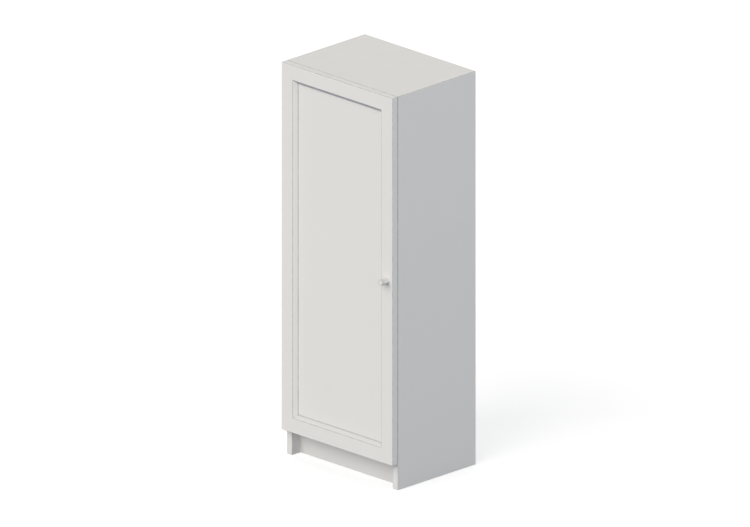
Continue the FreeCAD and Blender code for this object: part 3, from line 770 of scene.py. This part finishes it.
@cache
def soft_rubber():
    """Dusty soft rubber of the door bumpers."""
    rubber = settings().fittings.rubber
    finish = Finish("bumper_rubber")
    dust = finish.noise(width=0.0012, detail=3)
    return finish.surface(
        Base_Color=finish.tones(dust, rubber, low=0.88, high=1.14),
        Roughness=0.66 + swing(dust, 0.16),
        Normal=finish.bump(dust, depth=0.00003),
    )


def coats(along, above="dusty", below="clean"):
    """Paint for the faces of a piece, for those that look up or down, and for its rubbed edges. The up
    and down coats can carry painted shade.
    """
    return [painted(along, state) for state in ("clean", above, below, "rubbed")]


def whole_copy(node):
    """A node's mesh with its loose triangles joined and each flat face in one piece."""
    shape = bmesh.new()
    shape.from_mesh(frame["nodes"][node].data)
    bmesh.ops.remove_doubles(shape, verts=shape.verts, dist=WELD)
    bmesh.ops.dissolve_limit(shape, angle_limit=FLAT, verts=shape.verts, edges=shape.edges)
    shape.normal_update()
    return shape


def faces_of_all():
    """Every face of every solid, to tell which edges another piece covers."""
    points = []
    faces = []
    for node in frame["nodes"].values():
        start = len(points)
        points += [vertex.co.copy() for vertex in node.data.vertices]
        faces += [[start + corner for corner in face.vertices] for face in node.data.polygons]
    return BVHTree.FromPolygons(points, faces, all_triangles=True)


NEIGHBOURS = faces_of_all()


def covered(spot, normal):
    """True if another piece lies against the face at a spot."""
    near = NEIGHBOURS.find_nearest_range(spot, CONTACT)
    return any(other.dot(normal) < AGAINST for _, other, _, _ in near)


def exposed(edge):
    """True if neither face beside the edge lies against another piece along most of it."""
    for loop in edge.link_loops:
        along = loop.link_loop_next.vert.co - loop.vert.co
        inward = loop.face.normal.cross(along).normalized() * INSET
        spots = [loop.vert.co + along * part + inward for part in TRIES]
        if sum(covered(spot, loop.face.normal) for spot in spots) > len(TRIES) / 2:
            return False
    return True


def new_piece(name, shape, finishes):
    """A piece from finished mesh data, with its materials."""
    mesh = bpy.data.meshes.new(name)
    shape.to_mesh(mesh)
    shape.free()
    for finish in finishes:
        mesh.materials.append(finish)
    piece = bpy.data.objects.new(name, mesh)
    bpy.context.scene.collection.objects.link(piece)
    return piece


def settle(piece):
    """Turns a piece and its modifiers into one plain mesh."""
    graph = bpy.context.evaluated_depsgraph_get()
    mesh = bpy.data.meshes.new_from_object(piece.evaluated_get(graph), depsgraph=graph)
    if not mesh.polygons:
        raise RuntimeError(f"{piece.name} came out empty")
    piece.modifiers.clear()
    piece.data = mesh
    mesh.name = piece.name


def stand_for(piece, node):
    """Shows a piece instead of the solid that it was made for."""
    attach(piece, BODY_OF[node])
    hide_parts(node)


def smooth_under(shape, angle):
    """Shades a shape smooth, but for the edges where it turns by more than an angle."""
    shape.normal_update()
    for face in shape.faces:
        face.smooth = True
    for edge in shape.edges:
        edge.smooth = edge.calc_face_angle(0) < angle


def stop_short(edges, width):
    """Cuts the edges that run straight on from the end of an eased one, so that it ends there."""
    kept = set(edges)
    for edge in edges:
        for vertex in edge.verts:
            along = (vertex.co - edge.other_vert(vertex).co).normalized()
            for other in list(vertex.link_edges):
                onward = other.other_vert(vertex).co - vertex.co
                if other not in kept and onward.normalized().dot(along) > STRAIGHT:
                    bmesh.utils.edge_split(other, vertex, width / onward.length)


def ease(node, width, finishes, shortest=SHORT_ON_BOARD):
    """Shows a node's own shape with its exposed sharp edges taken off."""
    shape = whole_copy(node)
    sharp = [
        edge for edge in shape.edges
        if edge.calc_face_angle(0) > CREASE
        and edge.is_convex
        and edge.calc_length() > shortest
        and exposed(edge)
    ]
    stop_short(sharp, width)
    bmesh.ops.bevel(
        shape,
        geom=sharp,
        offset=width,
        offset_type="OFFSET",
        segments=settings().edges.steps,
        profile=0.5,
        affect="EDGES",
        clamp_overlap=True,
        material=len(finishes) - 1,
    )
    smooth_under(shape, CREASE)
    # Faces that look up take the coat for above, with dust and painted shade, and faces that look down
    # the coat for below.
    for face in shape.faces:
        if len(finishes) > 1 and face.material_index == UPRIGHT:
            if face.normal.z > STEEP:
                face.material_index = ABOVE
            elif face.normal.z < -STEEP:
                face.material_index = BELOW
    piece = new_piece(f"{node}_eased", shape, finishes)
    level = piece.modifiers.new("Level faces", "WEIGHTED_NORMAL")
    level.keep_sharp = True
    settle(piece)
    stand_for(piece, node)


def dress(node, finish):
    """Gives a carried-over solid its material."""
    for slot in frame["nodes"][node].material_slots:
        slot.material = finish


def turned(outline, steps=ROUND_STEPS):
    """A solid turned round the Z axis from (radius, height) pairs, base to tip."""
    shape = bmesh.new()
    rings = []
    for radius, height in outline:
        count = steps if radius > 0 else 1
        angles = [math.tau * step / steps for step in range(count)]
        rings.append([
            shape.verts.new((radius * math.cos(a), radius * math.sin(a), height)) for a in angles
        ])
    for low, high in zip(rings, rings[1:]):
        for step in range(steps):
            corners = [
                low[step % len(low)],
                low[(step + 1) % len(low)],
                high[(step + 1) % len(high)],
                high[step % len(high)],
            ]
            shape.faces.new(dict.fromkeys(corners))
    smooth_under(shape, CREASE)
    return shape


def rounded_outline(corners):
    """Outline of (radius, height) points from corners of (radius, height, rounding)."""
    points = [Vector(corner[:2]) for corner in corners]
    outline = [points[0]]
    for index, corner in enumerate(points[1:-1], start=1):
        amount = corners[index][2]
        if not amount:
            outline.append(corner)
            continue
        back = (points[index - 1] - corner).normalized() * amount
        on = (points[index + 1] - corner).normalized() * amount
        outline.append(corner + back * SUPPORT)
        for step in range(CORNER_STEPS + 1):
            part = step / CORNER_STEPS
            first = (corner + back).lerp(corner, part)
            second = corner.lerp(corner + on, part)
            outline.append(first.lerp(second, part))
        outline.append(corner + on * SUPPORT)
    outline.append(points[-1])
    return outline


def turned_plug(radius, length, foot, rim):
    """A turned cylinder with its foot and its rim rounded."""
    return turned(rounded_outline((
        (0, 0, 0),
        (radius, 0, foot),
        (radius, length, rim),
        (0, length, 0),
    )))


def place_along(shape, base, direction):
    """Moves a shape turned round Z so that it stands at a base and points one way."""
    turn = Vector(direction).to_track_quat("Z", "Y").to_matrix().to_4x4()
    bmesh.ops.transform(shape, matrix=Matrix.Translation(base) @ turn, verts=shape.verts)


def solids_of(node):
    """The corner points of each separate solid in a node, in the order of the node's mesh."""
    shape = whole_copy(node)
    seen = set()
    solids = []
    for first in shape.verts:
        if first in seen:
            continue
        seen.add(first)
        found = [first]
        for vertex in found:
            fresh = [edge.other_vert(vertex) for edge in vertex.link_edges]
            fresh = [other for other in fresh if other not in seen]
            seen.update(fresh)
            found += fresh
        solids.append([vertex.co.copy() for vertex in found])
    shape.free()
    return solids


def extent(points):
    """Lowest and highest corner of some points."""
    low = Vector(min(point[axis] for point in points) for axis in range(3))
    high = Vector(max(point[axis] for point in points) for axis in range(3))
    return low, high


class Seat:
    """Where a screw sits: the middle of its head, the way the head faces, and its sizes."""

    def __init__(self, points):
        low, high = extent(points)
        size = high - low
        axis = max(range(3), key=lambda index: size[index])
        middle = (low + high) / 2
        across = [index for index in range(3) if index != axis]

        def reach(point):
            return math.hypot(*(point[index] - middle[index] for index in across))

        widest = max(points, key=reach)
        up = 1 if widest[axis] > middle[axis] else -1
        self.aim = Vector((0, 0, 0))
        self.aim[axis] = up
        self.head = middle.copy()
        self.head[axis] = high[axis] if up > 0 else low[axis]
        self.length = size[axis]
        self.radius = reach(widest)
        past = self.length * SHANK_FROM
        far = [point for point in points if abs(point[axis] - self.head[axis]) > past]
        self.shank = max(reach(point) for point in far)


def geometry_tree(name, sockets):
    """An empty geometry tree with named inputs, and the wire of each."""
    tree = bpy.data.node_groups.new(name, "GeometryNodeTree")
    recipe = Recipe(tree)
    for label, kind in sockets.items():
        tree.interface.new_socket(label, in_out="INPUT", socket_type=kind)
    tree.interface.new_socket("Geometry", in_out="OUTPUT", socket_type="NodeSocketGeometry")
    start = tree.nodes.new("NodeGroupInput")
    return recipe, {label: Wire(start.outputs[label]) for label in sockets}


def close_tree(recipe, copies, finish):
    """Ends a geometry tree in one real mesh with its material."""
    real = recipe.add("GeometryNodeRealizeInstances", inputs={"Geometry": copies})
    done = recipe.add("GeometryNodeSetMaterial", inputs={"Geometry": real, "Material": finish})
    recipe.add("NodeGroupOutput", inputs={"Geometry": done})
    return recipe.tree


def screw_tree():
    """Sinks a driver cross into a screw blank and sets a copy at every point, turned at random."""
    recipe, given = geometry_tree("Screws on points", {
        "Points": "NodeSocketGeometry",
        "Blank": "NodeSocketObject",
        "Cross Length": "NodeSocketFloat",
        "Cross Width": "NodeSocketFloat",
        "Cross Depth": "NodeSocketFloat",
        "Seed": "NodeSocketInt",
        "Finish": "NodeSocketMaterial",
    })
    length, width, depth = (given[f"Cross {side}"] for side in ("Length", "Width", "Depth"))
    bars = []
    # Half of each bar stands above the head, whose face lies at height 0.
    for x, y in ((length, width), (width, length)):
        size = recipe.add("ShaderNodeCombineXYZ", inputs={"X": x, "Y": y, "Z": depth * 2})
        bars.append(recipe.add("GeometryNodeMeshCube", inputs={"Size": size}))
    blank = recipe.add("GeometryNodeObjectInfo", inputs={"Object": given["Blank"]}, output="Geometry")
    screw = recipe.add(
        "GeometryNodeMeshBoolean",
        {"operation": "DIFFERENCE", "solver": "EXACT"},
        {"Mesh 1": blank, "Mesh 2": bars},
    )
    aim = recipe.add("GeometryNodeInputNamedAttribute", {"data_type": "FLOAT_VECTOR"}, {"Name": "aim"})
    facing = recipe.add("FunctionNodeAlignRotationToVector", {"axis": "Z"}, {"Vector": aim})
    copies = recipe.add(
        "GeometryNodeInstanceOnPoints",
        inputs={"Points": given["Points"], "Instance": screw, "Rotation": facing},
    )
    turn = recipe.add(
        "FunctionNodeRandomValue",
        {"data_type": "FLOAT_VECTOR"},
        {"Min": (0, 0, 0), "Max": (0, 0, math.tau), "Seed": given["Seed"]},
    )
    loose = recipe.add("GeometryNodeRotateInstances", inputs={"Instances": copies, "Rotation": turn})
    return close_tree(recipe, loose, given["Finish"])


def row_tree():
    """Sets copies of one turned piece in a straight row."""
    recipe, given = geometry_tree("Pieces in a row", {
        "Blank": "NodeSocketObject",
        "Count": "NodeSocketInt",
        "First": "NodeSocketVector",
        "Step": "NodeSocketVector",
        "Finish": "NodeSocketMaterial",
    })
    line = recipe.add("GeometryNodeMeshLine", inputs={
        "Count": given["Count"],
        "Start Location": given["First"],
        "Offset": given["Step"],
    })
    blank = recipe.add("GeometryNodeObjectInfo", inputs={"Object": given["Blank"]}, output="Geometry")
    copies = recipe.add("GeometryNodeInstanceOnPoints", inputs={"Points": line, "Instance": blank})
    return close_tree(recipe, copies, given["Finish"])


def discard(piece):
    """Removes a blank once its copies are made."""
    mesh = piece.data
    bpy.data.objects.remove(piece)
    bpy.data.meshes.remove(mesh)


def grow(piece, tree, values, node):
    """Runs a geometry tree on a piece with named values and shows the plain mesh for a node."""
    modifier = piece.modifiers.new(tree.name, "NODES")
    modifier.node_group = tree
    for socket in tree.interface.items_tree:
        if socket.in_out == "INPUT" and socket.name in values:
            modifier[socket.identifier] = values[socket.name]
    settle(piece)
    discard(values["Blank"])
    stand_for(piece, node)


def screw_blank(seat):
    """One countersunk screw, head up at the origin, with a small chamfer round its rim."""
    rim = seat.radius * SCREW_RIM
    neck = seat.radius - seat.shank
    shape = turned([
        (0, -seat.length),
        (seat.shank, -seat.length + seat.shank * SCREW_TIP),
        (seat.shank, -neck - rim),
        (seat.radius, -rim),
        (seat.radius - rim, 0),
        (0, 0),
    ], steps=SCREW_STEPS)
    bmesh.ops.dissolve_limit(shape, angle_limit=FLAT, verts=shape.verts, edges=shape.edges)
    return new_piece("screw_blank", shape, [])


def screw_set(node, tree):
    """All the screws of one node, on the places of its solids."""
    fittings = settings().fittings
    seats = [Seat(points) for points in solids_of(node)]
    first = seats[0]
    points = bmesh.new()
    aim = points.verts.layers.float_vector.new("aim")
    for seat in seats:
        points.verts.new(seat.head)[aim] = seat.aim
    piece = new_piece(f"{node}_driven", points, [])
    cross = first.radius * 2 * fittings.cross
    grow(piece, tree, {
        "Blank": screw_blank(first),
        "Cross Length": cross,
        "Cross Width": cross * CROSS_WIDTH,
        "Cross Depth": first.radius * CROSS_DEPTH,
        "Seed": fittings.seed,
        "Finish": zinc_plate(),
    }, node)


def set_row(node, shape, y, finish):
    """A row of copies of one turned shape, its first and last where the node's solids are."""
    middles = [sum(extent(points), Vector()) / 2 for points in solids_of(node)]
    middles.sort(key=lambda middle: (middle.x, middle.z))
    first = middles[0]
    piece = new_piece(f"{node}_turned", bmesh.new(), [])
    grow(piece, row_tree(), {
        "Blank": new_piece("row_blank", shape, []),
        "Count": len(middles),
        "First": (first.x, y, first.z),
        "Step": (middles[-1] - first) / (len(middles) - 1),
        "Finish": finish,
    }, node)


class CUPBOARD_OT_case(bpy.types.Operator):
    """Paint the boards of the case and ease their edges"""

    bl_idname = "cupboard.case"
    bl_label = "Case boards"

    def execute(self, context):
        edges = settings().edges
        for node in UPRIGHT_BOARDS:
            ease(node, edges.board, coats("z"))
        for node in LEVEL_BOARDS:
            ease(node, edges.board, coats("x"))
        ease("back_panel", edges.panel, [painted_back()])
        return {"FINISHED"}


class CUPBOARD_OT_door(bpy.types.Operator):
    """Paint the framed door and ease its edges and mouldings"""

    bl_idname = "cupboard.door"
    bl_label = "Framed door"

    def execute(self, context):
        edges = settings().edges
        # The door's faces that look down take painted shade; the bottom ledge takes heavier dust with
        # painted shade.
        for node in UPRIGHT_DOOR_PIECES:
            ease(node, edges.board, coats("z", below="thin"))
        ease("door_top_rail", edges.board, coats("x", below="thin"))
        ease("door_bottom_rail", edges.board, coats("x", above="laden", below="thin"))
        return {"FINISHED"}


class CUPBOARD_OT_knob(bpy.types.Operator):
    """Turn the knob and paint it like the door"""

    bl_idname = "cupboard.knob"
    bl_label = "Knob"

    def execute(self, context):
        low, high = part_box("knob")
        radius = (high.x - low.x) / 2
        shape = turned_plug(radius, high.y - low.y, KNOB_FOOT, KNOB_RIM)
        for face in shape.faces:
            face.material_index = face.normal.z > LEANING
        middle = ((low + high) / 2).freeze()
        place_along(shape, (middle.x, high.y, middle.z), (0, -1, 0))
        # The knob's side paint carries painted shade above and below.
        finishes = [knob_paint(middle, radius, part) for part in ("side", "end")]
        stand_for(new_piece("knob_turned", shape, finishes), "knob")
        return {"FINISHED"}


class CUPBOARD_OT_pegs(bpy.types.Operator):
    """Turn one peg in beech and set a row of them along the peg rail"""

    bl_idname = "cupboard.pegs"
    bl_label = "Pegs"

    def execute(self, context):
        shape = turned(rounded_outline(PEG_OUTLINE))
        place_along(shape, (0, 0, 0), (0, -1, 0))
        set_row("pegs", shape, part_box("peg_rail")[0].y, oiled_beech("y"))
        return {"FINISHED"}


class CUPBOARD_OT_hinges(bpy.types.Operator):
    """Brush the hinge leaves and pins"""

    bl_idname = "cupboard.hinges"
    bl_label = "Hinges"

    def execute(self, context):
        width = settings().edges.fitting
        for level in ("upper", "middle", "lower"):
            for side in ("cabinet", "door"):
                ease(f"{level}_hinge_{side}_leaf", width, [brushed_steel()], SHORT_ON_PLATE)
            self.pin(f"{level}_hinge_pin")
        return {"FINISHED"}

    def pin(self, node):
        """One pin with a domed head and a rounded tail."""
        low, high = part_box(node)
        head = (high.x - low.x) / 2
        length = high.z - low.z
        neck = length - PIN_HEAD
        shape = turned(rounded_outline((
            (0, 0, 0),
            (PIN_RADIUS, 0, PIN_RADIUS * PIN_TAIL_ROUND),
            (PIN_RADIUS, neck, 0),
            (head, neck, 0),
            (head, length, PIN_HEAD * PIN_HEAD_ROUND),
            (0, length, 0),
        )), steps=PIN_STEPS)
        place_along(shape, ((low.x + high.x) / 2, (low.y + high.y) / 2, low.z), (0, 0, 1))
        stand_for(new_piece(f"{node}_turned", shape, [brushed_steel()]), node)


class CUPBOARD_OT_catches(bpy.types.Operator):
    """Finish the magnetic catches, their strike plates and the door bumpers"""

    bl_idname = "cupboard.catches"
    bl_label = "Catches and bumpers"

    def execute(self, context):
        width = settings().edges.fitting
        for node in ("upper_catch", "lower_catch"):
            ease(node, width * HOUSING_EASE, [moulded_plastic()], SHORT_ON_CATCH)
        ease("strike_plates", width, [zinc_plate()], SHORT_ON_PLATE)
        dress("catch_pole_plates", zinc_plate())
        dress("catch_magnets", sintered_ferrite())
        low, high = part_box("door_bumpers")
        radius = (high.x - low.x) / 2
        thick = high.y - low.y
        shape = turned_plug(radius, thick, foot=0, rim=thick * BUMPER_ROUND)
        place_along(shape, (0, 0, 0), (0, 1, 0))
        set_row("door_bumpers", shape, low.y, soft_rubber())
        return {"FINISHED"}


class CUPBOARD_OT_screws(bpy.types.Operator):
    """Drive every set of countersunk screws"""

    bl_idname = "cupboard.screws"
    bl_label = "Screws"

    def execute(self, context):
        tree = screw_tree()
        for node in SCREW_SETS:
            screw_set(node, tree)
        return {"FINISHED"}


class CUPBOARD_OT_joinery(bpy.types.Operator):
    """Finish the dowels, glue blocks, cams, shelf supports and the knob's bolt"""

    bl_idname = "cupboard.joinery"
    bl_label = "Joinery"

    def execute(self, context):
        edges = settings().edges
        ease("glue_blocks", edges.panel, [oiled_beech("x")])
        ease("shelf_supports", edges.fitting, [zinc_plate()], SHORT_ON_SUPPORT)
        dress("dowels", oiled_beech("x"))
        dress("cam_discs", cast_zinc())
        for node in ("cam_bolts", "knob_bolt", "knob_washer"):
            dress(node, zinc_plate())
        return {"FINISHED"}


def seen_directly(recipe):
    """1 for what the camera, a reflection or a clear piece looks at, and 0 for light on its way."""
    path = [
        recipe.add("ShaderNodeLightPath", output=f"Is {kind} Ray")
        for kind in ("Camera", "Glossy", "Transmission")
    ]
    return path[0] | path[1] | path[2]


def pale_floor():
    """White to the eye but for the cupboard's shadow, and dimmer in the light that it throws back."""
    finish = Finish("pale_floor")
    bounce = finish.add("ShaderNodeBsdfDiffuse", inputs={"Color": opaque(settings().stage.floor)})
    shadow = finish.add("ShaderNodeBsdfDiffuse", inputs={"Color": opaque(FLOOR_GREY)})
    glow = finish.add("ShaderNodeEmission", inputs={"Strength": FLOOR_GLOW})
    white = finish.add("ShaderNodeAddShader", inputs={0: shadow, 1: glow})
    both = finish.add("ShaderNodeMixShader", inputs={0: seen_directly(finish), 1: bounce, 2: white})
    finish.add("ShaderNodeOutputMaterial", inputs={"Surface": both})
    return finish.material


def lay_floor():
    """A square floor just under the feet."""
    shape = bmesh.new()
    bmesh.ops.create_grid(shape, x_segments=1, y_segments=1, size=settings().stage.floor_width / 2)
    bmesh.ops.translate(shape, vec=(0, 0, -FLOOR_DROP), verts=shape.verts)
    new_piece("floor", shape, [pale_floor()])


def light_room():
    """Even light from all round, in front of a white background."""
    world = bpy.data.worlds.new("room")
    world.use_nodes = True
    recipe = Recipe(world.node_tree)
    light = recipe.add("ShaderNodeBackground", inputs={"Color": opaque(settings().stage.sky)})
    white = recipe.add("ShaderNodeBackground", inputs={"Color": opaque((1, 1, 1))})
    both = recipe.add("ShaderNodeMixShader", inputs={0: seen_directly(recipe), 1: light, 2: white})
    recipe.add("ShaderNodeOutputWorld", inputs={"Surface": both})
    bpy.context.scene.world = world


def hang_lamp(name, strength, direction, colour):
    """A broad soft lamp that shines from one direction."""
    lamp = bpy.data.lights.new(name, "SUN")
    lamp.energy = strength
    lamp.angle = LAMP_SPREAD
    lamp.color = colour
    hung = bpy.data.objects.new(name, lamp)
    hung.rotation_euler = Vector(direction).to_track_quat("Z", "Y").to_euler()
    bpy.context.scene.collection.objects.link(hung)


def stand_camera():
    """A camera without perspective, set by azimuth and elevation."""
    stage = settings().stage
    back = Vector((
        math.sin(stage.azimuth) * math.cos(stage.elevation),
        -math.cos(stage.azimuth) * math.cos(stage.elevation),
        math.sin(stage.elevation),
    ))
    lens = bpy.data.cameras.new("camera")
    lens.type = "ORTHO"
    lens.ortho_scale = stage.view_width
    camera = bpy.data.objects.new("camera", lens)
    camera.location = Vector(stage.aim) + back * CAMERA_DISTANCE
    camera.rotation_euler = back.to_track_quat("Z", "Y").to_euler()
    bpy.context.scene.collection.objects.link(camera)
    bpy.context.scene.camera = camera


class CUPBOARD_OT_stage(bpy.types.Operator):
    """Lay the floor, light the room and stand the camera where the photograph was taken"""

    bl_idname = "cupboard.stage"
    bl_label = "Stage"

    def execute(self, context):
        stage = settings().stage
        lay_floor()
        light_room()
        hang_lamp("key", stage.key, stage.key_from, stage.key_colour)
        hang_lamp("fill", stage.fill, stage.fill_from, stage.fill_colour)
        hang_lamp("back", stage.back, stage.back_from, stage.back_colour)
        stand_camera()
        context.scene.view_settings.view_transform = "Standard"
        return {"FINISHED"}


class CUPBOARD_PT_pieces(bpy.types.Panel):
    """Sizes and colours of the cupboard, and the steps that make it"""

    bl_label = "Broom cupboard"
    bl_idname = "CUPBOARD_PT_pieces"
    bl_space_type = "VIEW_3D"
    bl_region_type = "UI"
    bl_category = "Cupboard"

    def draw(self, context):
        for name in CupboardSettings.__annotations__:
            group = getattr(settings(), name)
            box = self.layout.box()
            box.label(text=name.capitalize())
            for setting in group.__annotations__:
                box.prop(group, setting)
        for step in STEPS:
            self.layout.operator(step.bl_idname)


STEPS = (
    CUPBOARD_OT_case,
    CUPBOARD_OT_door,
    CUPBOARD_OT_knob,
    CUPBOARD_OT_pegs,
    CUPBOARD_OT_hinges,
    CUPBOARD_OT_catches,
    CUPBOARD_OT_screws,
    CUPBOARD_OT_joinery,
    CUPBOARD_OT_stage,
)
CLASSES = (
    PaintSettings,
    EdgeSettings,
    FittingSettings,
    StageSettings,
    CupboardSettings,
    *STEPS,
    CUPBOARD_PT_pieces,
)


def register():
    for each in CLASSES:
        bpy.utils.register_class(each)
    bpy.types.Scene.cupboard = PointerProperty(type=CupboardSettings)


def unregister():
    del bpy.types.Scene.cupboard
    for each in reversed(CLASSES):
        bpy.utils.unregister_class(each)


def main():
    """Registers the add-on, makes every piece in order and sets the stage."""
    register()
    bpy.ops.cupboard.case()
    bpy.ops.cupboard.door()
    bpy.ops.cupboard.knob()
    bpy.ops.cupboard.pegs()
    bpy.ops.cupboard.hinges()
    bpy.ops.cupboard.catches()
    bpy.ops.cupboard.screws()
    bpy.ops.cupboard.joinery()
    bpy.ops.cupboard.stage()


if __name__ == "__main__":
    main()
